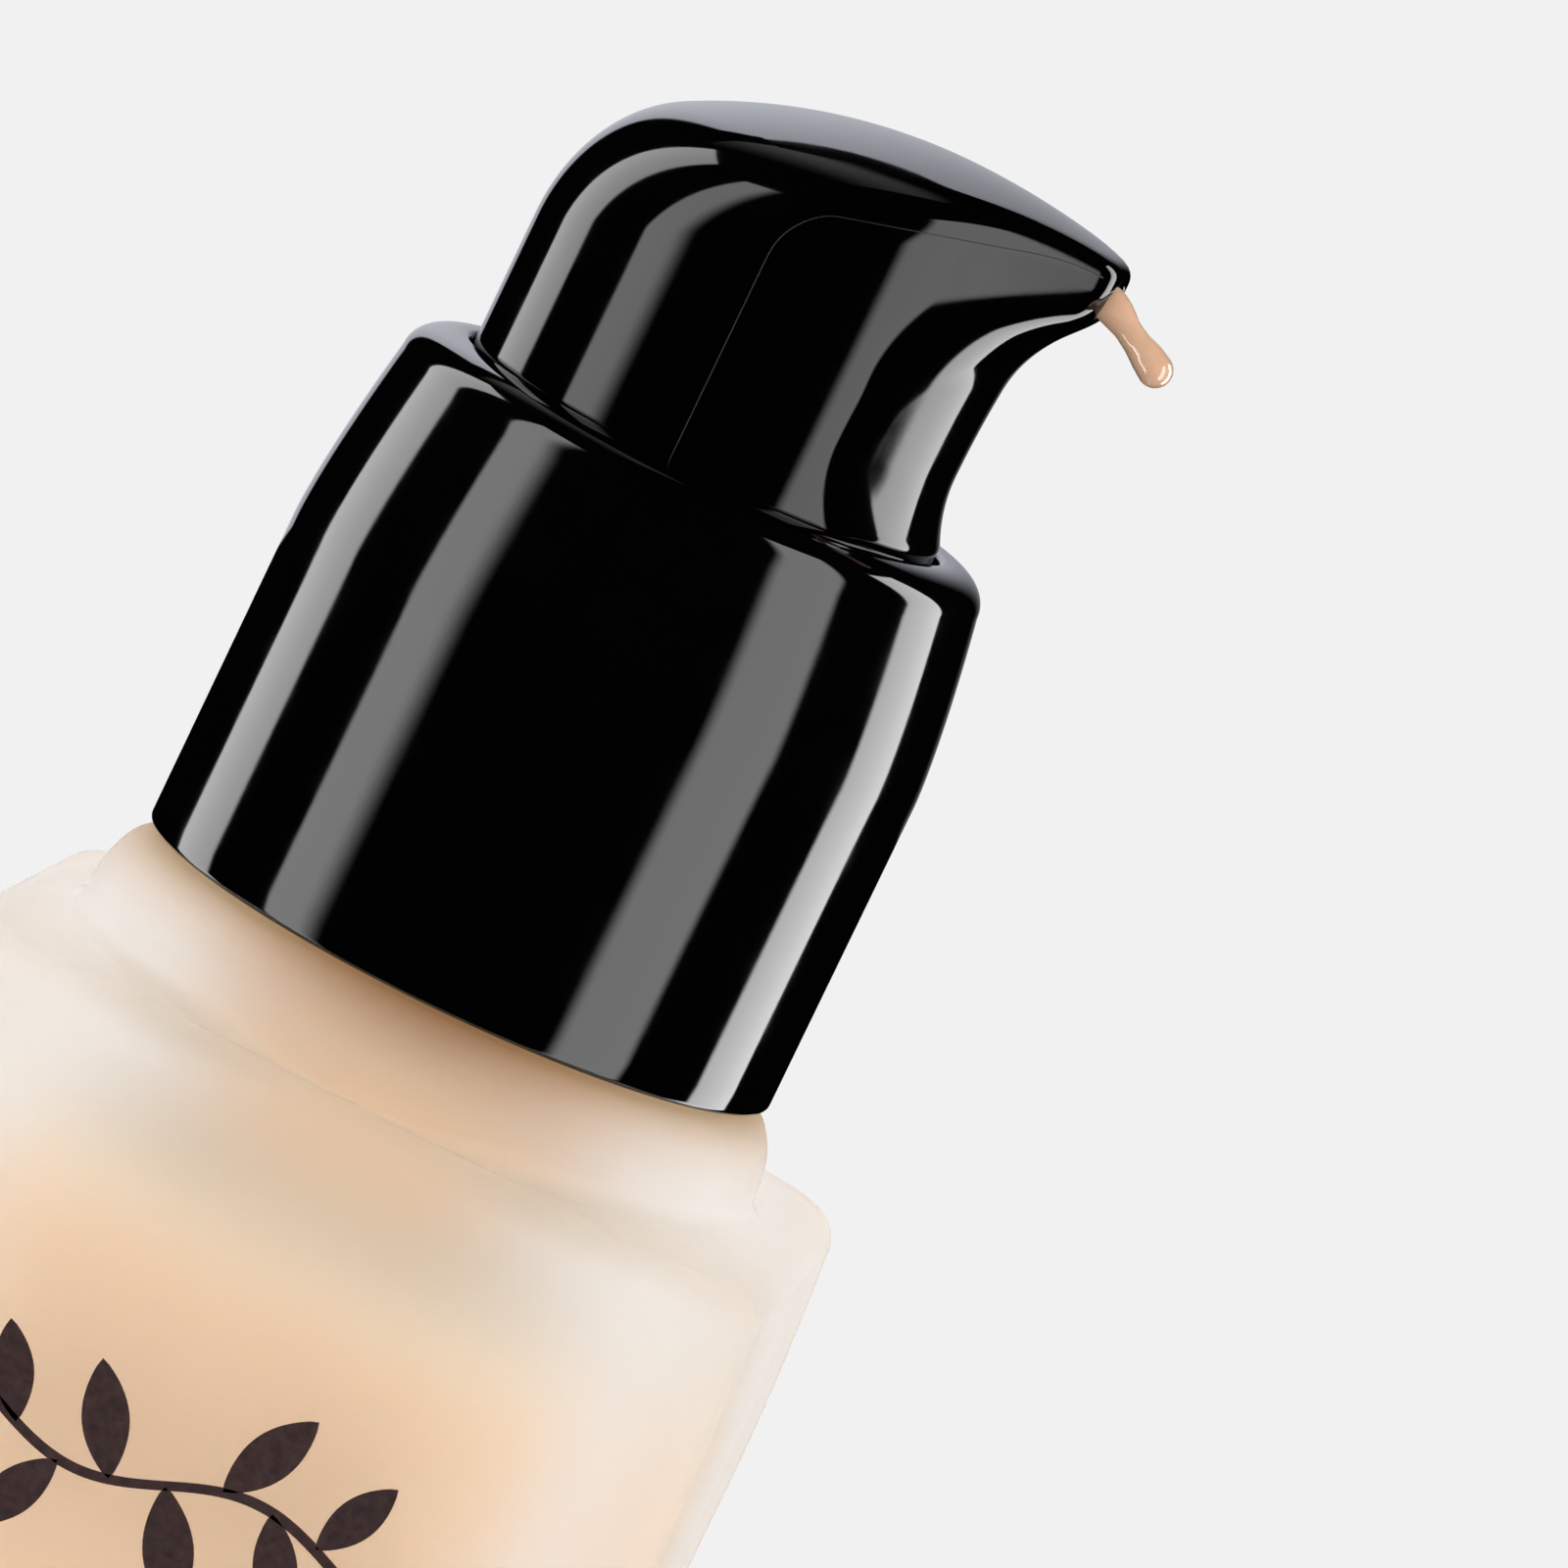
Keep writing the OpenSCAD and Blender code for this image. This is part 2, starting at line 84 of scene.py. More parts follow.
BODY_H = 61.4
CORNER_R = 4.1
EDGE_R = 1.75
LEAN_IN = 0.5
LEAN_H = 13.0
FOOT_R = 1.4
WALL_T = 5.5
BASE_T = 6.0
CAVITY_TOP = 56.0
CAVITY_R = 5.0
CAVITY_CORNER_R = 6.5
RING_BASE_R = 15.1
RING_TOP_R = 13.2
RING_TOP = COLLAR_Z - 0.3
NECK_R = 8.9
BORE_R = 6.9
FILL_Z = 63.0
PITCH = 3.0
THREAD_Z = 70.6
THREAD_TURNS = 1.25
THREAD_H = 0.9

HEAD_R = 10.4
CROWN_H = 15.22
CROWN_X = 4.8                    # where the crown is highest
CROWN_BACK_R = 24.6
CROWN_FRONT_R = 32.0
SPOUT_X = 12.7
SPOUT_H = 12.7
SPOUT_TURN = math.radians(-10)
FLANK = math.radians(42)         # where the spout's flanks leave the round body
WAIST_R = 9.66
WAIST_H = 3.3
SWELL_FROM = 14                  # degrees from the spout at which the front starts to swell
UNDER_X = 10.35                  # a point on the spout's underside, and its slope
UNDER_H = 10.2
UNDER_SLOPE = 0.6
HEAD_LOW = -3.6
HOLLOW_R = 9.2
HOLLOW_FRONT = 6.9
HOLLOW_ROOF = 8.5

SPRING_FLOOR = 60.0
SPRING_TOP = 70.5
SPRING_R = 2.6
SPRING_WIRE = 0.25
SPRING_TURNS = 6

# ---- camera -------------------------------------------------------------------------------

CAMERA_AZIMUTH = math.radians(5)
CAMERA_DISTANCE = 476.0          # from the middle of the collar's lower edge
CAMERA_ELEVATION = math.radians(8.95)
CAMERA_ROLL = math.radians(25.8)
AIM_RIGHT = 8.8                  # where the view's middle lies from that point
AIM_UP = 12.4
SCALE = 24.9                     # size in the frame of one millimetre at that point
FRAME_SIDE = 1600.0              # side of the square frame, in the unit of SCALE
SENSOR = 36.0


def make_camera():
    """A long lens a little above the collar, rolled so that the bottle leans to the right."""
    pivot = np.array([0, 0, COLLAR_Z])
    flat = np.array([math.sin(CAMERA_AZIMUTH), -math.cos(CAMERA_AZIMUTH), 0])
    place = pivot + CAMERA_DISTANCE * (
        flat * math.cos(CAMERA_ELEVATION) + np.array([0, 0, math.sin(CAMERA_ELEVATION)])
    )
    right = np.array([math.cos(CAMERA_AZIMUTH), math.sin(CAMERA_AZIMUTH), 0])
    aim = pivot + right * AIM_RIGHT + np.array([0, 0, AIM_UP])
    forward = aim - place
    forward /= np.linalg.norm(forward)
    level = np.cross(forward, [0, 0, 1])
    level /= np.linalg.norm(level)
    upright = np.cross(level, forward)
    side = math.cos(CAMERA_ROLL) * level + math.sin(CAMERA_ROLL) * upright
    up = math.cos(CAMERA_ROLL) * upright - math.sin(CAMERA_ROLL) * level
    data = bpy.data.cameras.new("camera")
    data.sensor_width = SENSOR
    data.lens = SCALE * CAMERA_DISTANCE / FRAME_SIDE * SENSOR
    data.clip_start = 0.01
    data.clip_end = 60
    camera = bpy.data.objects.new("camera", data)
    matrix = Matrix((side, up, -forward)).transposed().to_4x4()
    matrix.translation = Vector(place * MM)
    camera.matrix_world = matrix
    bpy.context.scene.collection.objects.link(camera)
    bpy.context.scene.camera = camera


# ---- mesh helpers ----------------------------------------------------------------------------


def make_object(name, points, faces, material, smooth=True, body=None):
    """A mesh object from points in millimetres."""
    mesh = bpy.data.meshes.new(name)
    mesh.from_pydata((np.asarray(points, float) * MM).tolist(), [], faces)
    mesh.validate()
    mesh.update()
    mesh.polygons.foreach_set("use_smooth", [smooth] * len(mesh.polygons))
    piece = bpy.data.objects.new(name, mesh)
    bpy.context.scene.collection.objects.link(piece)
    piece.data.materials.append(material)
    if body:
        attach(piece, body)
    return piece


def ring_faces(count, sides, start=0):
    """Quads between count rings of sides points each, facing out as the rings rise."""
    faces = []
    for i in range(count - 1):
        for j in range(sides):
            a = start + i * sides + j
            b = start + i * sides + (j + 1) % sides
            faces.append((a, b, b + sides, a + sides))
    return faces


def skin_rings(rings):
    """Points and faces of a closed skin over rings, with a fan of triangles at each end."""
    rings = [np.asarray(ring, float) for ring in rings]
    sides = len(rings[0])
    points = np.concatenate(rings)
    faces = ring_faces(len(rings), sides)
    first = len(points)
    last = first + 1
    top = (len(rings) - 1) * sides
    points = np.concatenate([points, [rings[0].mean(0)], [rings[-1].mean(0)]])
    for j in range(sides):
        k = (j + 1) % sides
        faces.append((first, k, j))
        faces.append((last, top + j, top + k))
    return points, faces


def circle_ring(radius, level, angles):
    """A round ring of points."""
    radius = np.broadcast_to(radius, np.shape(angles))
    return np.stack([radius * np.cos(angles), radius * np.sin(angles),
                     np.broadcast_to(level, np.shape(angles))], -1)


def lathe(profile, sides):
    """Rings of a turned shape from [(radius, level), ...]."""
    angles = np.linspace(0, 2 * math.pi, sides, endpoint=False)
    return [circle_ring(radius, level, angles) for radius, level in profile]


def closed_lathe(profile, sides):
    """Points and faces of a turned shape whose profile is a closed loop."""
    rings = lathe(profile, sides)
    points = np.concatenate(rings)
    faces = ring_faces(len(rings), sides)
    last = (len(rings) - 1) * sides
    for j in range(sides):
        k = (j + 1) % sides
        faces.append((last + j, last + k, k, j))
    return points, faces


def arc(centre, radius, start, end, steps):
    """Points (radius from the axis, level) of a rounded edge, angles in degrees."""
    angles = np.radians(np.linspace(start, end, steps))
    return [(centre[0] + radius * math.cos(a), centre[1] + radius * math.sin(a))
            for a in angles]


def sweep(path, radius, sides=10):
    """Points and faces of a round bar along a path of points."""
    path = np.asarray(path, float)
    radius = np.broadcast_to(radius, len(path))
    tangents = np.gradient(path, axis=0)
    tangents /= np.linalg.norm(tangents, axis=1)[:, None]
    normal = np.cross(tangents[0], [0.3, 0.2, 0.9])
    rings = []
    for point, tangent, r in zip(path, tangents, radius):
        normal = normal - tangent * np.dot(normal, tangent)
        normal /= np.linalg.norm(normal)
        across = np.cross(tangent, normal)
        rings.append([point + r * (math.cos(a) * normal + math.sin(a) * across)
                      for a in np.linspace(0, 2 * math.pi, sides, endpoint=False)])
    return skin_rings(rings)


def smooth_step(t):
    """0 to 1 with a soft start and end."""
    t = np.clip(t, 0, 1)
    return t * t * (3 - 2 * t)


def smoothed(path, times):
    """A path whose inner points are each drawn towards their neighbours a number of times."""
    path = np.array(path)
    for _ in range(times):
        path[1:-1] = (path[:-2] + 2 * path[1:-1] + path[2:]) / 4
    return path


# ---- materials --------------------------------------------------------------------------------


def srgb(r, g, b):
    """Linear colour from 0-255 display values."""
    def linear(v):
        v /= 255
        return v / 12.92 if v <= 0.04045 else ((v + 0.055) / 1.055) ** 2.4
    return (linear(r), linear(g), linear(b), 1.0)


class Shader:
    """A node material around one Principled shader; sockets are named with _ for a space."""

    def __init__(self, name, color, roughness, **sockets):
        self.material = bpy.data.materials.new(name)
        self.material.use_nodes = True
        self.nodes = self.material.node_tree.nodes
        self.links = self.material.node_tree.links
        self.principled = self.nodes["Principled BSDF"]
        self.place = self.nodes.new("ShaderNodeTexCoord")
        self.set("Base Color", color)
        self.set("Roughness", roughness)
        for socket, value in sockets.items():
            self.set(socket.replace("_", " "), value)

    def set(self, socket, value):
        self.principled.inputs[socket].default_value = value

    def link(self, output, socket):
        self.links.new(output, self.principled.inputs[socket])

    def noise(self, scale, detail=3, stretch=(1, 1, 1)):
        """Noise in object space; scale is in cells a metre."""
        mapping = self.nodes.new("ShaderNodeMapping")
        mapping.inputs["Scale"].default_value = stretch
        self.links.new(self.place.outputs["Object"], mapping.inputs["Vector"])
        noise = self.nodes.new("ShaderNodeTexNoise")
        noise.inputs["Scale"].default_value = scale
        noise.inputs["Detail"].default_value = detail
        self.links.new(mapping.outputs["Vector"], noise.inputs["Vector"])
        return noise.outputs["Fac"]

    def height(self):
        """Level in metres."""
        split = self.nodes.new("ShaderNodeSeparateXYZ")
        self.links.new(self.place.outputs["Object"], split.inputs["Vector"])
        return split.outputs["Z"]

    def span(self, value, low, high, start=0.3, end=0.7):
        """Maps a value from start..end to low..high."""
        node = self.nodes.new("ShaderNodeMapRange")
        node.inputs["From Min"].default_value = start
        node.inputs["From Max"].default_value = end
        node.inputs["To Min"].default_value = low
        node.inputs["To Max"].default_value = high
        self.links.new(value, node.inputs["Value"])
        return node.outputs["Result"]

    def blend(self, value, first, second):
        """Colour between first and second by value."""
        node = self.nodes.new("ShaderNodeMix")
        node.data_type = "RGBA"
        self.links.new(value, node.inputs["Factor"])
        for socket, color in (("A", first), ("B", second)):
            if isinstance(color, tuple):
                node.inputs[socket].default_value = color
            else:
                self.links.new(color, node.inputs[socket])
        return node.outputs["Result"]

    def ramp(self, value, stops):
        """Colour by value, through stops of (value, colour)."""
        node = self.nodes.new("ShaderNodeValToRGB")
        elements = node.color_ramp.elements
        elements[0].position, elements[0].color = stops[0]
        elements[1].position, elements[1].color = stops[-1]
        for place, color in stops[1:-1]:
            elements.new(place).color = color
        self.links.new(value, node.inputs["Fac"])
        return node.outputs["Color"]

    def bump(self, value, height, strength=1.0, onto=None):
        """Bump of the given height in metres."""
        node = self.nodes.new("ShaderNodeBump")
        node.inputs["Strength"].default_value = strength
        node.inputs["Distance"].default_value = height
        self.links.new(value, node.inputs["Height"])
        if onto:
            self.links.new(onto, node.inputs["Normal"])
        return node.outputs["Normal"]


GLASS_TINT = (0.968, 0.947, 0.922, 1)
PAINTED_SHADE_LEVELS = (0.0632, 0.0658)  # metres: painted shade, from the middle of the neck's ring to the collar
PAINTED_LIGHT_LEVELS = (0.0515, 0.06)     # metres: painted light band, from the fill's rounded upper edge into the neck


def gloss_black(name="gloss_black", ior=1.5):
    """High-gloss black plastic with a breath of flow waviness and handling marks.

    A lacquered part has the higher refractive index and mirrors a little more.
    """
    s = Shader(name, (0.0004, 0.0004, 0.0005, 1), 0.05, IOR=ior)
    s.link(s.span(s.noise(420, 4), 0.035, 0.075), "Roughness")
    wave = s.bump(s.noise(90, 1), 0.000006)
    s.link(s.bump(s.noise(2600, 2), 0.0000004, onto=wave), "Normal")
    return s.material


def frosted_glass():
    """Acid-etched glass: rough to light that passes, with a fine even tooth.

    The ring at the neck's foot has the collar's shade painted into its colour: it darkens to a
    warm brown towards the collar.
    """
    s = Shader("frosted_glass", GLASS_TINT, 0.72, IOR=1.5, Transmission_Weight=1.0)
    # Painted shade: the base colour darkens from the glass's tint to brown up the ring, standing
    # in for the collar's shadow.
    shade = [(0, GLASS_TINT), (0.29, (0.918, 0.833, 0.755, 1)), (0.475, (0.854, 0.746, 0.635, 1)),
             (0.655, (0.746, 0.583, 0.443, 1)), (0.846, (0.545, 0.374, 0.23, 1)),
             (1, (0.306, 0.163, 0.056, 1))]
    s.link(s.ramp(s.span(s.height(), 0, 1, *PAINTED_SHADE_LEVELS), shade), "Base Color")
    s.link(s.span(s.noise(260, 3), 0.68, 0.76), "Roughness")
    s.link(s.bump(s.noise(9000, 2), 0.000002), "Normal")
    return s.material


def foundation():
    """Creamy pigmented liquid, with painted light: paler in a band where it clings under the
    shoulder.
    """
    s = Shader("foundation", srgb(254, 221, 189), 0.35, IOR=1.45, Subsurface_Weight=0.35,
               Subsurface_Radius=(1.0, 0.6, 0.4), Subsurface_Scale=0.0015)
    tone = s.noise(45, 4, (1, 1, 0.5))
    mottled_base = s.blend(s.span(tone, 0, 1), srgb(252, 218, 186), srgb(255, 224, 193))
    # Painted light: a band near the top of the fill is blended towards a paler colour, standing in
    # for light where the fill would look shaded.
    painted_light_shares = ((0, 0.0), (0.3, 0.6), (0.54, 1.0), (0.66, 0.0), (1, 0.0))
    painted_light_band = s.ramp(s.span(s.height(), 0, 1, *PAINTED_LIGHT_LEVELS),
                  [(place, (share, share, share, 1)) for place, share in painted_light_shares])
    s.link(s.blend(painted_light_band, mottled_base, srgb(255, 240, 220)), "Base Color")
    s.link(s.bump(s.noise(700, 2), 0.00001), "Normal")
    return s.material


def wet_foundation():
    """The same liquid in the open: wet and glossy."""
    s = Shader("wet_foundation", srgb(220, 180, 150), 0.07, Coat_Weight=1.0, Coat_Roughness=0.03,
               Coat_IOR=1.9, IOR=1.45, Subsurface_Weight=0.5, Subsurface_Radius=(1.0, 0.5, 0.3),
               Subsurface_Scale=0.0006)
    tone = s.span(s.noise(900, 3), 0, 1)
    s.link(s.blend(tone, srgb(216, 175, 144), srgb(224, 186, 156)), "Base Color")
    s.link(s.bump(s.noise(2400, 2), 0.000008), "Normal")
    return s.material


def print_ink():
    """Fired screen ink: dark brown, with the mesh's faint tooth."""
    s = Shader("print_ink", srgb(58, 36, 36), 0.5)
    tone = s.span(s.noise(2500, 3), 0, 1)
    s.link(s.blend(tone, srgb(50, 31, 32), srgb(66, 42, 40)), "Base Color")
    s.link(s.span(s.noise(4000, 2), 0.4, 0.62), "Roughness")
    s.link(s.bump(s.noise(9000, 2), 0.000004), "Normal")
    return s.material


def moulded_plastic(name, color, roughness, translucent=0.0):
    """Polypropylene or polyethylene, with cloudy tone and a spark-eroded grain."""
    s = Shader(name, color, roughness, Subsurface_Weight=translucent,
               Subsurface_Radius=(1, 1, 1), Subsurface_Scale=0.0008)
    darker = tuple(c * 0.93 for c in color[:3]) + (1.0,)
    s.link(s.blend(s.span(s.noise(300, 3), 0, 1), darker, color), "Base Color")
    s.link(s.span(s.noise(1500, 2), roughness * 0.85, roughness * 1.15), "Roughness")
    s.link(s.bump(s.noise(5200, 2), 0.000006), "Normal")
    return s.material


def clear_tube():
    """Extruded translucent tube with faint lengthwise draw lines."""
    s = Shader("tube_plastic", (0.9, 0.93, 0.93, 1), 0.2, Transmission_Weight=0.7, IOR=1.5)
    lines = s.noise(2600, 2, (1, 1, 0.02))
    s.link(s.span(lines, 0.15, 0.28), "Roughness")
    s.link(s.bump(lines, 0.000004), "Normal")
    return s.material


def steel(name, roughness, stretch):
    """Bright steel with fine drawing or polishing marks."""
    s = Shader(name, (0.62, 0.62, 0.63, 1), roughness, Metallic=1.0)
    marks = s.noise(6000, 3, stretch)
    s.link(s.span(marks, roughness * 0.7, roughness * 1.4), "Roughness")
    s.link(s.bump(marks, 0.000003), "Normal")
    return s.material


MATERIALS = {
    "gloss_black": gloss_black(),
    "lacquered_black": gloss_black("lacquered_black", 1.62),
    "satin_black": moulded_plastic("satin_black", (0.02, 0.02, 0.021, 1), 0.3),
    "frosted_glass": frosted_glass(),
    "foundation": foundation(),
    "wet": wet_foundation(),
    "print_ink": print_ink(),
    "gasket_foam": moulded_plastic("gasket_foam", (0.62, 0.62, 0.59, 1), 0.8),
    "pump_plastic": moulded_plastic("pump_plastic", (0.72, 0.72, 0.69, 1), 0.42, 0.2),
    "seal_plastic": moulded_plastic("seal_plastic", (0.8, 0.8, 0.78, 1), 0.5, 0.3),
    "closure_plastic": moulded_plastic("closure_plastic", (0.012, 0.012, 0.013, 1), 0.4),
    "tube_plastic": clear_tube(),
    "valve_steel": steel("valve_steel", 0.08, (1, 1, 1)),
    "spring_steel": steel("spring_steel", 0.22, (0.2, 0.2, 1)),
}


def dress_cad_nodes():
    """Gives every CAD node that stays in view its finished material."""
    for entry in frame["record"]["subparts"]:
        node = frame["nodes"][entry["node"]]
        material = MATERIALS[entry["material_slot"]]
        if node.data.materials:
            for i in range(len(node.data.materials)):
                node.data.materials[i] = material
        else:
            node.data.materials.append(material)


# ---- glass bottle and its contents ---------------------------------------------------------

ARC_STEPS = 14                   # points in each upright corner
SIDE_STEPS = 12                  # points along each flat side


def rounded_outline(w, d, r):
    """Outline of a rectangle with round corners, anticlockwise from the right-hand side."""
    points = []
    centres = [(1, 1), (-1, 1), (-1, -1), (1, -1)]
    for k, (sx, sy) in enumerate(centres):
        cx, cy = sx * (w / 2 - r), sy * (d / 2 - r)
        for a in np.linspace(k * math.pi / 2, (k + 1) * math.pi / 2, ARC_STEPS):
            points.append((cx + r * math.cos(a), cy + r * math.sin(a)))
        nx, ny = centres[(k + 1) % 4]
        after = (k + 1) * math.pi / 2
        end = (nx * (w / 2 - r) + r * math.cos(after), ny * (d / 2 - r) + r * math.sin(after))
        begin = points[-1]
        for i in range(1, SIDE_STEPS):
            t = i / SIDE_STEPS
            points.append((begin[0] + (end[0] - begin[0]) * t, begin[1] + (end[1] - begin[1]) * t))
    return np.array(points)


def block_ring(w, d, r, drawn_in, level):
    """Ring of a block with round corners, drawn in from its full size."""
    outline = rounded_outline(w - 2 * drawn_in, d - 2 * drawn_in, r - drawn_in / 2)
    return np.column_stack([outline, np.full(len(outline), level)])


def body_ring(drawn_in, level):
    """Ring of the bottle's outside."""
    return block_ring(BODY_W, BODY_D, CORNER_R, drawn_in, level)


def cavity_ring(drawn_in, level):
    """Ring of the bottle's cavity."""
    return block_ring(BODY_W - 2 * WALL_T, BODY_D - 2 * WALL_T, CAVITY_CORNER_R, drawn_in, level)


def outline_angles():
    """Angle of each point of a ring about the bottle's axis."""
    outline = rounded_outline(BODY_W, BODY_D, CORNER_R)
    return np.arctan2(outline[:, 1], outline[:, 0])


def thread_rise(angles, level):
    """How far the neck's thread stands out at each angle, at one level."""
    turn = np.mod(angles, 2 * math.pi) / (2 * math.pi)
    along = (level - THREAD_Z) / PITCH
    turns = turn + np.round(along - turn)
    away = np.abs(along - turns) * PITCH
    run = smooth_step((turns + 0.06) / 0.12) * smooth_step((THREAD_TURNS + 0.06 - turns) / 0.12)
    return THREAD_H * smooth_step((0.62 - away) / 0.3) * run


def glass_rings():
    """Rings of the bottle's whole skin: up the outside, over the lip, down the inside."""
    angles = outline_angles()
    # base, rounded foot, straight side, the lean under the shoulder and the rounded edge
    rings = [body_ring(7, 0), body_ring(4, 0), body_ring(FOOT_R + 0.5, 0)]
    for a in np.radians(np.linspace(0, 90, 9)):
        rings.append(body_ring(FOOT_R * (1 - math.sin(a)), FOOT_R * (1 - math.cos(a))))
    for level in np.linspace(4, BODY_H - LEAN_H, 12):
        rings.append(body_ring(0, level))
    for t in np.linspace(0.08, 1, 12):
        rings.append(body_ring(LEAN_IN * t * t, BODY_H - LEAN_H + t * (LEAN_H - EDGE_R)))
    for a in np.radians(np.linspace(9, 90, 10)):
        rings.append(body_ring(LEAN_IN + EDGE_R * (1 - math.cos(a)),
                               BODY_H - EDGE_R * (1 - math.sin(a))))
    # flat shoulder, from the rounded square in to the foot of the ring, where the fillet takes
    # what room the square leaves
    square = rings[-1]
    fillet = np.clip(np.hypot(square[:, 0], square[:, 1]) - RING_BASE_R - 0.02, 0.03, 1.2)
    foot = circle_ring(RING_BASE_R + fillet, BODY_H, angles)
    for t in (0.35, 0.7):
        rings.append(square + (foot - square) * t)
    for a in np.radians(np.linspace(270, 188, 6)):
        rings.append(circle_ring(RING_BASE_R + fillet * (1 + math.cos(a)),
                                 BODY_H + fillet * (1 + math.sin(a)), angles))
    # the ring, its flat top and the foot of the neck
    width = RING_BASE_R - RING_TOP_R
    rise = RING_TOP - BODY_H - fillet
    for a in np.radians(np.linspace(8, 90, 14)):
        rings.append(circle_ring(RING_TOP_R + width * math.cos(a),
                                 BODY_H + fillet + rise * math.sin(a), angles))
    for r in (RING_TOP_R - 1.5, NECK_R + 1.2, NECK_R + 0.5):
        rings.append(circle_ring(r, RING_TOP, angles))
    for a in np.radians(np.linspace(270, 185, 5)):
        rings.append(circle_ring(NECK_R + 0.4 + 0.4 * math.cos(a),
                                 RING_TOP + 0.4 + 0.4 * math.sin(a), angles))
    # threaded neck, its lip and its bore
    for level in np.arange(RING_TOP + 0.6, NECK_TOP - 0.5, 0.14):
        rings.append(circle_ring(NECK_R + thread_rise(angles, level), level, angles))
    for a in np.radians(np.linspace(0, 90, 5)):
        rings.append(circle_ring(NECK_R - 0.4 + 0.4 * math.cos(a),
                                 NECK_TOP - 0.4 + 0.4 * math.sin(a), angles))
    rings.append(circle_ring(BORE_R + 0.3, NECK_TOP, angles))
    rings.append(circle_ring(BORE_R, NECK_TOP - 0.3, angles))
    for level in np.linspace(NECK_TOP - 2, CAVITY_TOP + 0.6, 10):
        rings.append(circle_ring(BORE_R, level, angles))
    rings.append(circle_ring(BORE_R + 0.2, CAVITY_TOP, angles))
    # cavity, down to its floor
    rings.append((rings[-1] + cavity_ring(CAVITY_R, CAVITY_TOP)) / 2)
    for a in np.radians(np.linspace(90, 0, 9)):
        rings.append(cavity_ring(CAVITY_R * (1 - math.cos(a)),
                                 CAVITY_TOP - CAVITY_R * (1 - math.sin(a))))
    for level in np.linspace(CAVITY_TOP - CAVITY_R - 3, BASE_T + CAVITY_R + 3, 8):
        rings.append(cavity_ring(0, level))
    for a in np.radians(np.linspace(0, 90, 9)):
        rings.append(cavity_ring(CAVITY_R * (1 - math.cos(a)),
                                 BASE_T + CAVITY_R * (1 - math.sin(a))))
    return rings


def make_glass():
    points, faces = skin_rings(glass_rings())
    glass = make_object("glass_body", points, faces, MATERIALS["frosted_glass"],
                        body="bottle")
    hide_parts("glass_bottle")


def make_liquid():
    """The fill, a hair proud of the cavity so that it wets the glass."""
    wet = 0.02
    angles = outline_angles()
    rings = []
    for a in np.radians(np.linspace(90, 0, 9)):
        rings.append(cavity_ring(CAVITY_R * (1 - math.cos(a)) - wet,
                                 BASE_T - wet + CAVITY_R * (1 - math.sin(a))))
    for level in np.linspace(BASE_T + CAVITY_R + 3, CAVITY_TOP - CAVITY_R - 3, 8):
        rings.append(cavity_ring(-wet, level))
    for a in np.radians(np.linspace(0, 90, 9)):
        rings.append(cavity_ring(CAVITY_R * (1 - math.cos(a)) - wet,
                                 CAVITY_TOP + wet - CAVITY_R * (1 - math.sin(a))))
    neck = BORE_R + wet
    rings.append(circle_ring(neck + 0.2, CAVITY_TOP + wet, angles))
    for level in np.linspace(CAVITY_TOP + 0.5, FILL_Z - 0.3, 6):
        rings.append(circle_ring(neck, level, angles))
    # the surface creeps up the glass at its edge
    rings.append(circle_ring(neck, FILL_Z + 0.25, angles))
    rings.append(circle_ring(neck - 0.15, FILL_Z + 0.2, angles))
    rings.append(circle_ring(neck - 0.7, FILL_Z, angles))
    # a clear space round the pump: its cylinder, its socket and the dip tube down to its end
    cylinder_r, cylinder_foot = 4.7, 55.45
    socket_r, socket_foot = 3.05, 47.95
    tube_r, tube_end = 1.86, 7.0
    for r, level in ((cylinder_r, FILL_Z), (cylinder_r, cylinder_foot),
                     (socket_r, cylinder_foot - 0.05), (socket_r, socket_foot),
                     (tube_r, socket_foot - 0.05), (tube_r, tube_end)):
        rings.append(circle_ring(r, level, angles))
    points, faces = skin_rings(rings)
    liquid = make_object("foundation_fill", points, faces, MATERIALS["foundation"],
                         body="bottle")
    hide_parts("foundation_liquid")


# ---- print ------------------------------------------------------------------------------------

SPRIG_W = 24.0
SPRIG_Z = 44.6
INK_T = 0.06
LEAVES = 11
LEAF_L = 5.2                     # length of the middle leaf
LEAF_LEAN = 62                   # degrees between a leaf and the stem
STEM_T = 0.42
DOTS = 15
DOT_GAP = 1.25
DOT_ROW = -7.2                   # level of the row, from the sprig's middle


def leaf_points(length, width, steps=18):
    """Outline of a leaf that starts at the origin and points along +X."""
    t = np.linspace(0, 1, steps)
    half = width / 2 * np.sin(math.pi * t) ** 0.8
    upper = np.column_stack([length * t, half])
    lower = np.column_stack([length * t, -half])[::-1]
    return np.concatenate([upper, lower[1:-1]])


def stem_wave(x):
    """Height of the sprig's stem at x."""
    return np.sin(x * 2 * math.pi / (SPRIG_W * 0.62))


def add_flat(points, faces, outline):
    """Adds a raised plate of ink with the given outline to points and faces."""
    outline = np.asarray(outline, float)
    n = len(outline)
    middle = outline.mean(0)
    front = -BODY_D / 2
    start = len(points)
    levels = [(1.0, front + 0.02), (1.0, front - INK_T * 0.75), (0.985, front - INK_T)]
    for share, y in levels:
        for p in outline:
            q = middle + (p - middle) * share
            points.append((q[0], y, q[1] + SPRIG_Z))
    for level in range(len(levels) - 1):
        for j in range(n):
            a = start + level * n + j
            b = start + level * n + (j + 1) % n
            faces.append((a, b, b + n, a + n))
    faces.append(tuple(start + (len(levels) - 1) * n + j for j in range(n)))
    faces.append(tuple(start + j for j in reversed(range(n))))


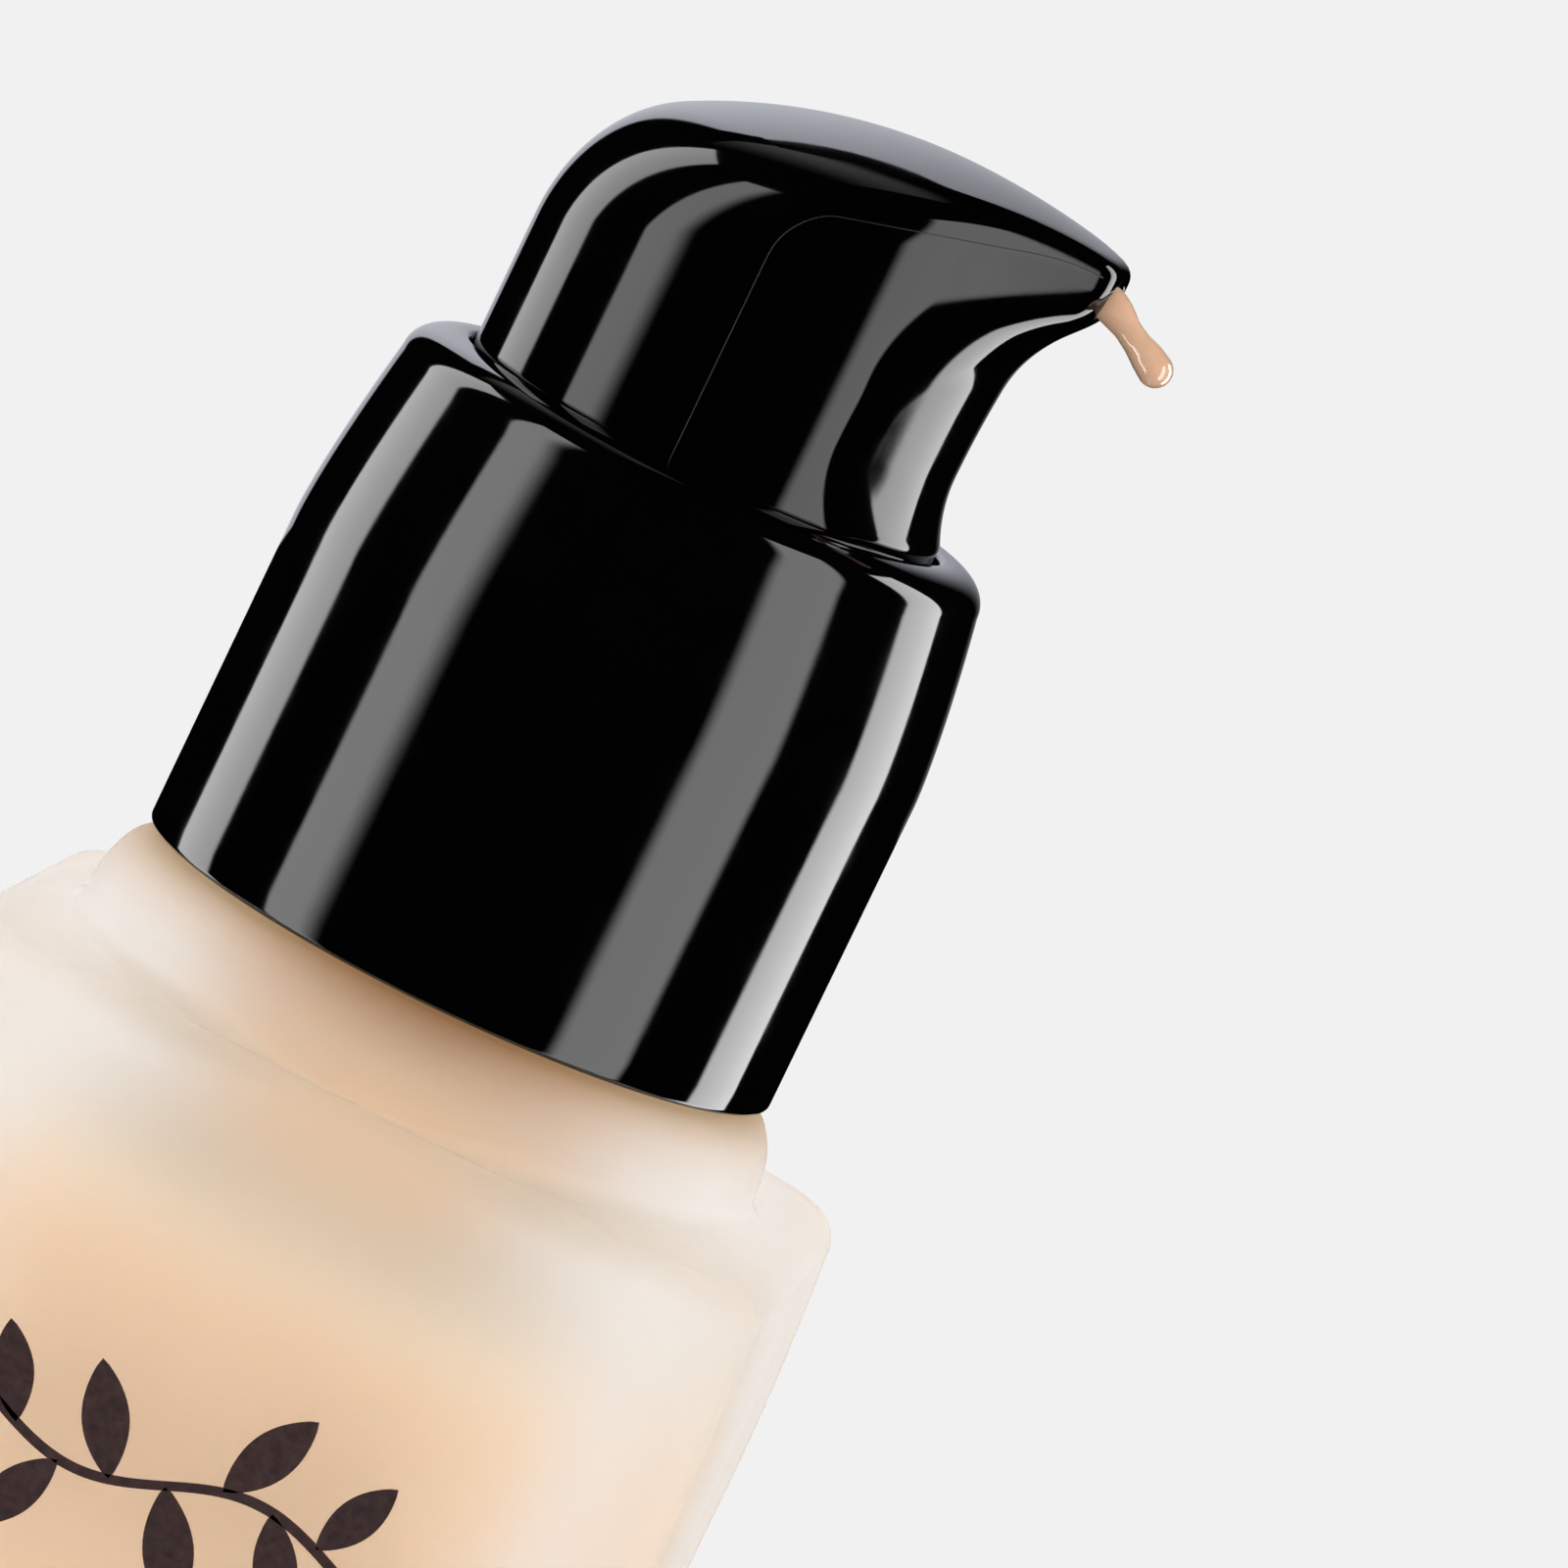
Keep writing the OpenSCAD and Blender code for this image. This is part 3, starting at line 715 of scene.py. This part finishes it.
def make_print():
    """A generic sprig of leaves over a row of dots."""
    points, faces = [], []
    for i in range(LEAVES):
        x = SPRIG_W * (i / (LEAVES - 1) - 0.5) * 0.9
        side = 1 if i % 2 == 0 else -1
        length = LEAF_L - abs(x) * 0.16
        turn = math.radians(side * (180 - LEAF_LEAN if x < 0 else LEAF_LEAN))
        leaf = leaf_points(length, length * 0.4)
        c, s = math.cos(turn), math.sin(turn)
        leaf = leaf @ np.array([[c, s], [-s, c]]) + [x, stem_wave(x)]
        add_flat(points, faces, leaf[::-1])
    xs = np.linspace(-0.5, 0.5, 81) * SPRIG_W
    stem = np.concatenate([np.column_stack([xs, stem_wave(xs) + STEM_T / 2]),
                           np.column_stack([xs, stem_wave(xs) - STEM_T / 2])[::-1]])
    add_flat(points, faces, stem[::-1])
    a = np.linspace(0, 2 * math.pi, 24, endpoint=False)
    for i in range(DOTS):
        r = 0.42 if i % 7 == 0 else 0.22
        dot = np.column_stack([(i - DOTS // 2) * DOT_GAP + r * np.cos(a),
                               DOT_ROW + r * np.sin(a)])
        add_flat(points, faces, dot[::-1])
    ink = make_object("sprig_print", points, faces, MATERIALS["print_ink"], smooth=False,
                      body="bottle")
    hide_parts("front_print")


# ---- collar -----------------------------------------------------------------------------------


def make_collar():
    """Barrel collar: straight side, soft shoulder, dished rim and the sleeve inside."""
    curve_h, curve_in, rim_h, crest_r = 9.5, 1.05, 1.5, 11.05
    bore_r = HEAD_R + 0.16
    inner_r = COLLAR_R - 1.3
    sleeve_r = bore_r + 0.95         # the sleeve that guides the actuator
    sleeve_low = COLLAR_TOP - 4.3
    roof = COLLAR_TOP - 1.6
    grip_r = 11.72                   # two rings that grip the closure, and their levels
    grips = ((80.5, 79.2), (70.2, 69.0))
    ledge_low, ledge_high = 81.5, 82.7
    profile = [(COLLAR_R - 0.3, COLLAR_Z)]
    profile += arc((COLLAR_R - 0.25, COLLAR_Z + 0.25), 0.25, -80, 0, 6)
    for level in np.linspace(COLLAR_Z + 1, COLLAR_TOP - curve_h, 8):
        profile.append((COLLAR_R, level))
    for rise in np.linspace(0.3, curve_h - rim_h, 22):
        profile.append((COLLAR_R - curve_in * (rise / (curve_h - rim_h)) ** 1.4,
                        COLLAR_TOP - curve_h + rise))
    rim_w = COLLAR_R - curve_in - crest_r
    for a in np.radians(np.linspace(6, 90, 16)):
        profile.append((crest_r + rim_w * math.cos(a), COLLAR_TOP - rim_h * (1 - math.sin(a))))
    profile += arc((bore_r + 0.3, COLLAR_TOP - 0.32), 0.3, 85, 180, 8)
    profile += [(bore_r, sleeve_low + 0.2), (bore_r + 0.2, sleeve_low), (sleeve_r, sleeve_low),
                (sleeve_r, roof), (inner_r - 0.3, roof), (inner_r - 0.3, ledge_high),
                (sleeve_r, ledge_high), (sleeve_r, ledge_low + 0.02), (inner_r, ledge_low)]
    for high, low in grips:
        profile += [(inner_r, high), (grip_r, high - 0.1), (grip_r, low + 0.1), (inner_r, low)]
    profile += [(inner_r, COLLAR_Z + 0.2), (inner_r + 0.2, COLLAR_Z)]
    points, faces = closed_lathe(profile, 240)
    collar = make_object("barrel_collar", points, faces, MATERIALS["lacquered_black"],
                         body="closure")
    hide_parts("outer_collar")


# ---- actuator -----------------------------------------------------------------------------------


def smooth_max(a, b, k):
    """The greater of two fields, rounded over k where they meet."""
    return np.maximum(a, b) + np.maximum(k - np.abs(a - b), 0) ** 2 / (4 * k)


def smooth_min(a, b, k):
    """The smaller of two fields, rounded over k where they meet."""
    return -smooth_max(-a, -b, k)


def arc_dip(d, r):
    """How far an arc of radius r has fallen at distance d from its top."""
    return r - np.sqrt(np.maximum(r * r - d * d, 0))


def crown(x, y):
    """Level of the crown above the collar."""
    along = np.where(x < CROWN_X, arc_dip(CROWN_X - x, CROWN_BACK_R),
                     arc_dip(x - CROWN_X, CROWN_FRONT_R))
    return CROWN_H - along - (0.026 - 0.0006 * x) * y * y


def head_plan(x, y, h):
    """Plan: a circle with two flanks that run to the tip, and a full circle in the collar."""
    radius = np.hypot(x, y)
    flank = smooth_max(x * math.cos(FLANK) + np.abs(y) * math.sin(FLANK) - HEAD_R,
                       x - SPOUT_X, 0.5)
    flank = np.maximum(flank, radius - HEAD_R - np.maximum(h, 0))
    return np.where(np.abs(np.arctan2(y, x)) > FLANK, radius - HEAD_R, flank)


def head_front(x, y, h):
    """Hollow front: a waisted wall that swells to the flanks, then the spout's underside."""
    waist = WAIST_R + (h - WAIST_H) ** 2 / np.where(h < WAIST_H, 12.4, 90)
    away = np.maximum(0, np.degrees(np.abs(np.arctan2(y, x))) - SWELL_FROM) / 24
    wall = np.hypot(x, y) - waist - 0.3 * away ** 3.3
    underside = (UNDER_H + UNDER_SLOPE * (x - UNDER_X) - h) * 0.82
    return smooth_min(wall, underside, 2)


def head_field(x, y, h):
    """Negative inside the actuator."""
    crown_edge = np.maximum(0.6, 2.5 - 0.15 * x)
    front_edge = 0.7 - 0.15 * smooth_step(h / 3) + 0.9 * smooth_step((h - 5) / 5)
    return smooth_max(smooth_max(head_plan(x, y, h), 0.92 * (h - crown(x, y)), crown_edge),
                      head_front(x, y, h), front_edge)


def head_reach(angle, slope, level):
    """Distance from the axis point at level to the surface, by bisection."""
    near = np.zeros(np.broadcast(angle, slope, level).shape)
    far = near + 24.0
    for _ in range(34):
        mid = (near + far) / 2
        inside = head_field(mid * np.cos(slope) * np.cos(angle),
                            mid * np.cos(slope) * np.sin(angle),
                            level + mid * np.sin(slope)) < 0
        near = np.where(inside, mid, near)
        far = np.where(inside, far, mid)
    return (near + far) / 2


def to_part(p):
    """From the actuator's frame to the part's."""
    p = np.asarray(p, float)
    c, s = math.cos(SPOUT_TURN), math.sin(SPOUT_TURN)
    return np.stack([p[..., 0] * c - p[..., 1] * s, p[..., 0] * s + p[..., 1] * c,
                     p[..., 2] + COLLAR_TOP], -1)


def head_rings():
    """Rings of the shell, from the crown down the outside and up the hollow inside."""
    u = np.linspace(-math.pi, math.pi, 360, endpoint=False)
    angles = u - 0.55 * np.sin(u)            # closer together towards the spout
    fan_level = 12.9
    rows = [(math.radians(e), fan_level) for e in 88 * np.linspace(1, 0, 70) ** 1.6]
    rows += [(0.0, h) for h in np.linspace(fan_level, HEAD_LOW + 0.15, 130)[1:]]
    rings = []
    for slope, level in rows:
        d = head_reach(angles, slope, level)
        rings.append(np.stack([d * math.cos(slope) * np.cos(angles),
                               d * math.cos(slope) * np.sin(angles),
                               level + d * math.sin(slope)], -1))
    rings.append(rings[-1] * [0.99, 0.99, 1] - [0, 0, 0.15])
    wall = np.minimum(HOLLOW_R, HOLLOW_FRONT / np.maximum(np.cos(angles), 0.2))
    rings.append(circle_ring(wall + 0.1, HEAD_LOW, angles))
    for level in np.linspace(HEAD_LOW + 0.1, HOLLOW_ROOF - 0.3, 10):
        rings.append(circle_ring(wall, level, angles))
    rings.append(circle_ring(wall - 0.3, HOLLOW_ROOF, angles))
    rings.append(circle_ring(wall * 0.5, HOLLOW_ROOF, angles))
    return rings


def bore_mouth(shell):
    """Cuts the round mouth of the spout, with a small flare at its lip."""
    angles = np.linspace(0, 2 * math.pi, 48, endpoint=False)
    flare = [(0.85, -3.0), (0.85, -0.32), (0.9, -0.12), (1.02, 0.02), (1.6, 0.8)]
    rings = [np.stack([np.full(len(angles), SPOUT_X + x), r * np.cos(angles),
                       SPOUT_H + r * np.sin(angles)], -1) for r, x in flare]
    points, faces = skin_rings(rings)
    cutter = make_object("mouth_cutter", to_part(points), faces, MATERIALS["gloss_black"])
    cut = shell.modifiers.new("mouth", "BOOLEAN")
    cut.operation = "DIFFERENCE"
    cut.solver = "EXACT"
    cut.object = cutter
    bpy.context.view_layer.update()
    apply_modifiers(shell)
    bpy.data.objects.remove(cutter)


def apply_modifiers(piece):
    """Makes the piece's mesh what its modifiers show."""
    shown = piece.evaluated_get(bpy.context.evaluated_depsgraph_get())
    mesh = bpy.data.meshes.new_from_object(shown)
    piece.modifiers.clear()
    piece.data = mesh


def make_actuator():
    """Pressed head with its spout, cut open at the mouth."""
    points, faces = skin_rings(head_rings())
    faces = [tuple(reversed(face)) for face in faces]
    shell = make_object("spout_shell", to_part(points), faces, MATERIALS["gloss_black"])
    bore_mouth(shell)
    shell.data.polygons.foreach_set("use_smooth", [True] * len(shell.data.polygons))
    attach(shell, "head")
    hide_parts("actuator_shell")


def surface_point(x, h, side):
    """Point on the actuator's flank at x and level h, on one side."""
    near, far = 0.0, 12.0
    for _ in range(40):
        mid = (near + far) / 2
        if head_field(np.array(x), np.array(side * mid), np.array(h)) < 0:
            near = mid
        else:
            far = mid
    return np.array([x, side * near, h])


def make_parting_lines():
    """The mould's hairline witness: up each flank, then forward under the crown's edge."""
    seam_x, below, seam_r = 1.6, 1.2, 0.022
    path = [(seam_x, h) for h in np.linspace(HEAD_LOW + 0.6, 10.3, 60)]
    for x in np.linspace(seam_x + 0.9, SPOUT_X - 0.4, 60):
        if x < HEAD_R * math.cos(FLANK):
            width = math.sqrt(HEAD_R ** 2 - x * x)
        else:
            width = (HEAD_R - x * math.cos(FLANK)) / math.sin(FLANK)
        path.append((x, float(crown(x, width)) - below + 0.55 * smooth_step((x - 8) / 4)))
    path = smoothed(path, 12)
    for side, name in ((-1, "seam_near"), (1, "seam_far")):
        line = [surface_point(x, h, side) for x, h in path]
        points, faces = sweep(line, seam_r, 6)
        make_object(name, to_part(points), faces, MATERIALS["satin_black"],
                    body="head")


def make_drop():
    """Bead of foundation that has left the mouth and sags."""
    centres = np.array([[11.4, 0, 12.75], [12.5, 0, 12.68], [13.1, 0, 12.4], [13.7, 0, 12.05],
                        [14.3, 0, 11.72], [14.9, 0, 11.42], [15.45, 0, 11.1]])
    radii = [0.62, 0.78, 0.7, 0.56, 0.58, 0.7, 0.74]
    t = np.linspace(0, 1, len(centres))
    fine = np.linspace(0, 1, 36)
    path = smoothed(np.column_stack([np.interp(fine, t, centres[:, k]) for k in range(3)]), 6)
    radius = np.interp(fine, t, radii)
    end = path[-1] - path[-2]
    end /= np.linalg.norm(end)
    cap_r = radius[-1]
    caps = [(math.sin(a), math.cos(a)) for a in np.radians(np.linspace(10, 86, 9))]
    path = np.concatenate([path, [path[-1] + end * cap_r * s for s, _ in caps]])
    radius = np.concatenate([radius, [cap_r * c for _, c in caps]])
    points, faces = sweep(path, radius, 32)
    drop = make_object("foundation_bead", to_part(points), faces, MATERIALS["wet"],
                       body="head")
    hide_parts("product_drop")


# ---- spring -----------------------------------------------------------------------------------


def make_spring():
    """Compression spring with closed ends; the real one shortens as the actuator is pressed, this
    mesh is built at one fixed length.
    """
    t = np.linspace(0, 1, SPRING_TURNS * 48)
    low, high = SPRING_FLOOR + SPRING_WIRE, SPRING_TOP - SPRING_WIRE
    closed = 0.1                     # share of the wire in each closed end
    rise = np.interp(t, [0, closed, 1 - closed, 1], [0, 0.035, 0.965, 1])
    angles = 2 * math.pi * SPRING_TURNS * t
    path = np.column_stack([SPRING_R * np.cos(angles), SPRING_R * np.sin(angles),
                            low + (high - low) * rise])
    points, faces = sweep(path, SPRING_WIRE, 10)
    spring = make_object("coil_spring", points, faces, MATERIALS["spring_steel"],
                         body="pump")
    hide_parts("return_spring")
    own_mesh(spring)


# ---- floor, world and lights ------------------------------------------------------------------

FLOOR_LIGHT = 0.8796             # display value 241
PAINTED_SHADOW_DARKEST = 0.3
FLOOR_HALF = 9.0                 # metres
PAINTED_SHADOW_FROM = -0.012              # metres out from the bottle's foot, where the painted shadow starts
PAINTED_SHADOW_TO = 0.035                 # and where it has gone
AMBIENT = 0.85
FRONT_AMBIENT = 1.17
GLOSSY_AMBIENT = 0.001


def make_panel(name, half_w, half_h, material):
    """A flat rectangle about its own middle, in metres."""
    mesh = bpy.data.meshes.new(name)
    mesh.from_pydata([(-half_w, -half_h, 0), (half_w, -half_h, 0), (half_w, half_h, 0),
                      (-half_w, half_h, 0)], [], [(0, 1, 2, 3)])
    mesh.materials.append(material)
    panel = bpy.data.objects.new(name, mesh)
    bpy.context.scene.collection.objects.link(panel)
    return panel


def make_floor():
    """Plain pale floor: its own even light, with a contact shadow painted round the bottle's foot.
    """
    material = bpy.data.materials.new("floor")
    material.use_nodes = True
    nodes, links = material.node_tree.nodes, material.node_tree.links
    nodes.remove(nodes["Principled BSDF"])
    glow = nodes.new("ShaderNodeEmission")
    place = nodes.new("ShaderNodeTexCoord")
    vector = place.outputs["Object"]
    foot = (BODY_W * MM / 2 - 0.003, BODY_D * MM / 2 - 0.003, 0)
    for operation, value in (("ABSOLUTE", foot), ("SUBTRACT", foot), ("MAXIMUM", (0, 0, 0))):
        step = nodes.new("ShaderNodeVectorMath")
        step.operation = operation
        step.inputs[1].default_value = value
        links.new(vector, step.inputs[0])
        vector = step.outputs[0]
    away = nodes.new("ShaderNodeVectorMath")
    away.operation = "LENGTH"
    links.new(vector, away.inputs[0])
    # Painted shadow: the floor's glow falls towards the bottle's foot, standing in for its contact
    # shadow.
    tone = nodes.new("ShaderNodeMapRange")
    tone.interpolation_type = "SMOOTHERSTEP"
    tone.inputs["From Min"].default_value = PAINTED_SHADOW_FROM
    tone.inputs["From Max"].default_value = PAINTED_SHADOW_TO
    tone.inputs["To Min"].default_value = PAINTED_SHADOW_DARKEST
    tone.inputs["To Max"].default_value = FLOOR_LIGHT
    links.new(away.outputs["Value"], tone.inputs["Value"])
    links.new(tone.outputs["Result"], glow.inputs["Strength"])
    links.new(glow.outputs["Emission"], nodes["Material Output"].inputs["Surface"])
    floor = make_panel("floor", FLOOR_HALF, FLOOR_HALF, material)
    floor.visible_glossy = False


def make_world():
    """White surroundings, brightest in front, and nearly black to mirror-like reflections."""
    world = bpy.data.worlds.new("studio")
    bpy.context.scene.world = world
    world.use_nodes = True
    nodes, links = world.node_tree.nodes, world.node_tree.links
    path = nodes.new("ShaderNodeLightPath")
    mirrored = nodes.new("ShaderNodeMath")
    mirrored.operation = "SUBTRACT"
    mirrored.use_clamp = True
    links.new(path.outputs["Is Glossy Ray"], mirrored.inputs[0])
    links.new(path.outputs["Is Transmission Ray"], mirrored.inputs[1])
    place = nodes.new("ShaderNodeTexCoord")
    split = nodes.new("ShaderNodeSeparateXYZ")
    links.new(place.outputs["Generated"], split.inputs["Vector"])
    surround = nodes.new("ShaderNodeMapRange")
    surround.inputs["From Min"].default_value = -1
    surround.inputs["From Max"].default_value = 0
    surround.inputs["To Min"].default_value = FRONT_AMBIENT
    surround.inputs["To Max"].default_value = AMBIENT
    links.new(split.outputs["Y"], surround.inputs["Value"])
    tone = nodes.new("ShaderNodeMapRange")
    tone.inputs["To Max"].default_value = GLOSSY_AMBIENT
    links.new(surround.outputs["Result"], tone.inputs["To Min"])
    links.new(mirrored.outputs["Value"], tone.inputs["Value"])
    links.new(tone.outputs["Result"], nodes["Background"].inputs["Strength"])
    nodes["Background"].inputs["Color"].default_value = (1, 1, 1, 1)


# Name, azimuth from the camera's side and elevation in degrees, width and height in degrees,
# radiance at the lower and upper edge, share of the width over which the left and the right
# edge fade
PANELS = [
    ("outer_left", -112, 3, 24, 82, 3.8, 3.6, 0.04, 0.1),
    ("outer_right", 112, 3, 24, 82, 5.6, 5.2, 0.1, 0.04),
    ("inner_left", -58.5, 3, 26, 82, 3.3, 3.0, 0.08, 0.45),
    ("inner_right", 54, 3, 32, 82, 2.8, 2.8, 0.2, 0.12),
    ("back", 180, 14, 46, 44, 0.75, 1.7, 0.8, 0.05),
    ("top", -150, 62, 34, 40, 0.35, 0.35, 0.3, 0.6),
]
PANEL_DISTANCE = 0.75            # metres, from the middle of the collar and head
PANEL_MIDDLE = 0.085
PANEL_TINT = (0.975, 0.975, 0.98, 1.0)
BACK_TINT = (0.88, 0.9, 1.0, 1.0)


def panel_material(name, low, high, fade_left, fade_right):
    """Emission that changes from the lower to the upper edge and fades at the sides."""
    material = bpy.data.materials.new(name)
    material.use_nodes = True
    nodes, links = material.node_tree.nodes, material.node_tree.links
    nodes.remove(nodes["Principled BSDF"])
    place = nodes.new("ShaderNodeTexCoord")
    split = nodes.new("ShaderNodeSeparateXYZ")
    links.new(place.outputs["Generated"], split.inputs["Vector"])

    def ramp(axis, start, end, first, last):
        node = nodes.new("ShaderNodeMapRange")
        node.interpolation_type = "SMOOTHSTEP"
        values = (start, end, first, last)
        for socket, value in zip(("From Min", "From Max", "To Min", "To Max"), values):
            node.inputs[socket].default_value = value
        links.new(split.outputs[axis], node.inputs["Value"])
        return node.outputs["Result"]

    def product(a, b):
        node = nodes.new("ShaderNodeMath")
        node.operation = "MULTIPLY"
        links.new(a, node.inputs[0])
        links.new(b, node.inputs[1])
        return node.outputs["Value"]

    sides = product(ramp("X", 0, fade_left, 0, 1), ramp("X", 1 - fade_right, 1, 1, 0))
    glow = nodes.new("ShaderNodeEmission")
    glow.inputs["Color"].default_value = BACK_TINT if name == "back" else PANEL_TINT
    links.new(product(sides, ramp("Y", 0, 1, low, high)), glow.inputs["Strength"])
    links.new(glow.outputs["Emission"], nodes["Material Output"].inputs["Surface"])
    return material


def make_lights():
    """Soft panels round the bottle, all facing it; none shows in the picture."""
    centre = Vector((0, 0, PANEL_MIDDLE))
    for name, azimuth, elevation, width, height, low, high, fade_left, fade_right in PANELS:
        turn = math.radians(azimuth) + CAMERA_AZIMUTH
        rise = math.radians(elevation)
        direction = Vector((math.sin(turn) * math.cos(rise), -math.cos(turn) * math.cos(rise),
                            math.sin(rise)))
        right = Vector((math.cos(turn), math.sin(turn), 0))
        up = direction.cross(right)
        half_w = PANEL_DISTANCE * math.tan(math.radians(width / 2))
        half_h = PANEL_DISTANCE * math.tan(math.radians(height / 2))
        panel = make_panel(name, half_w, half_h,
                           panel_material(name, low, high, fade_left, fade_right))
        matrix = Matrix((right, up, right.cross(up))).transposed().to_4x4()
        matrix.translation = centre + direction * PANEL_DISTANCE
        panel.matrix_world = matrix
        panel.visible_camera = False
        panel.visible_transmission = False


# ---- scene ------------------------------------------------------------------------------------

bpy.context.scene.view_settings.view_transform = "Standard"
make_camera()
make_world()
make_lights()
make_floor()
dress_cad_nodes()
make_glass()
make_liquid()
make_print()
make_collar()
make_actuator()
make_parting_lines()
make_drop()
make_spring()
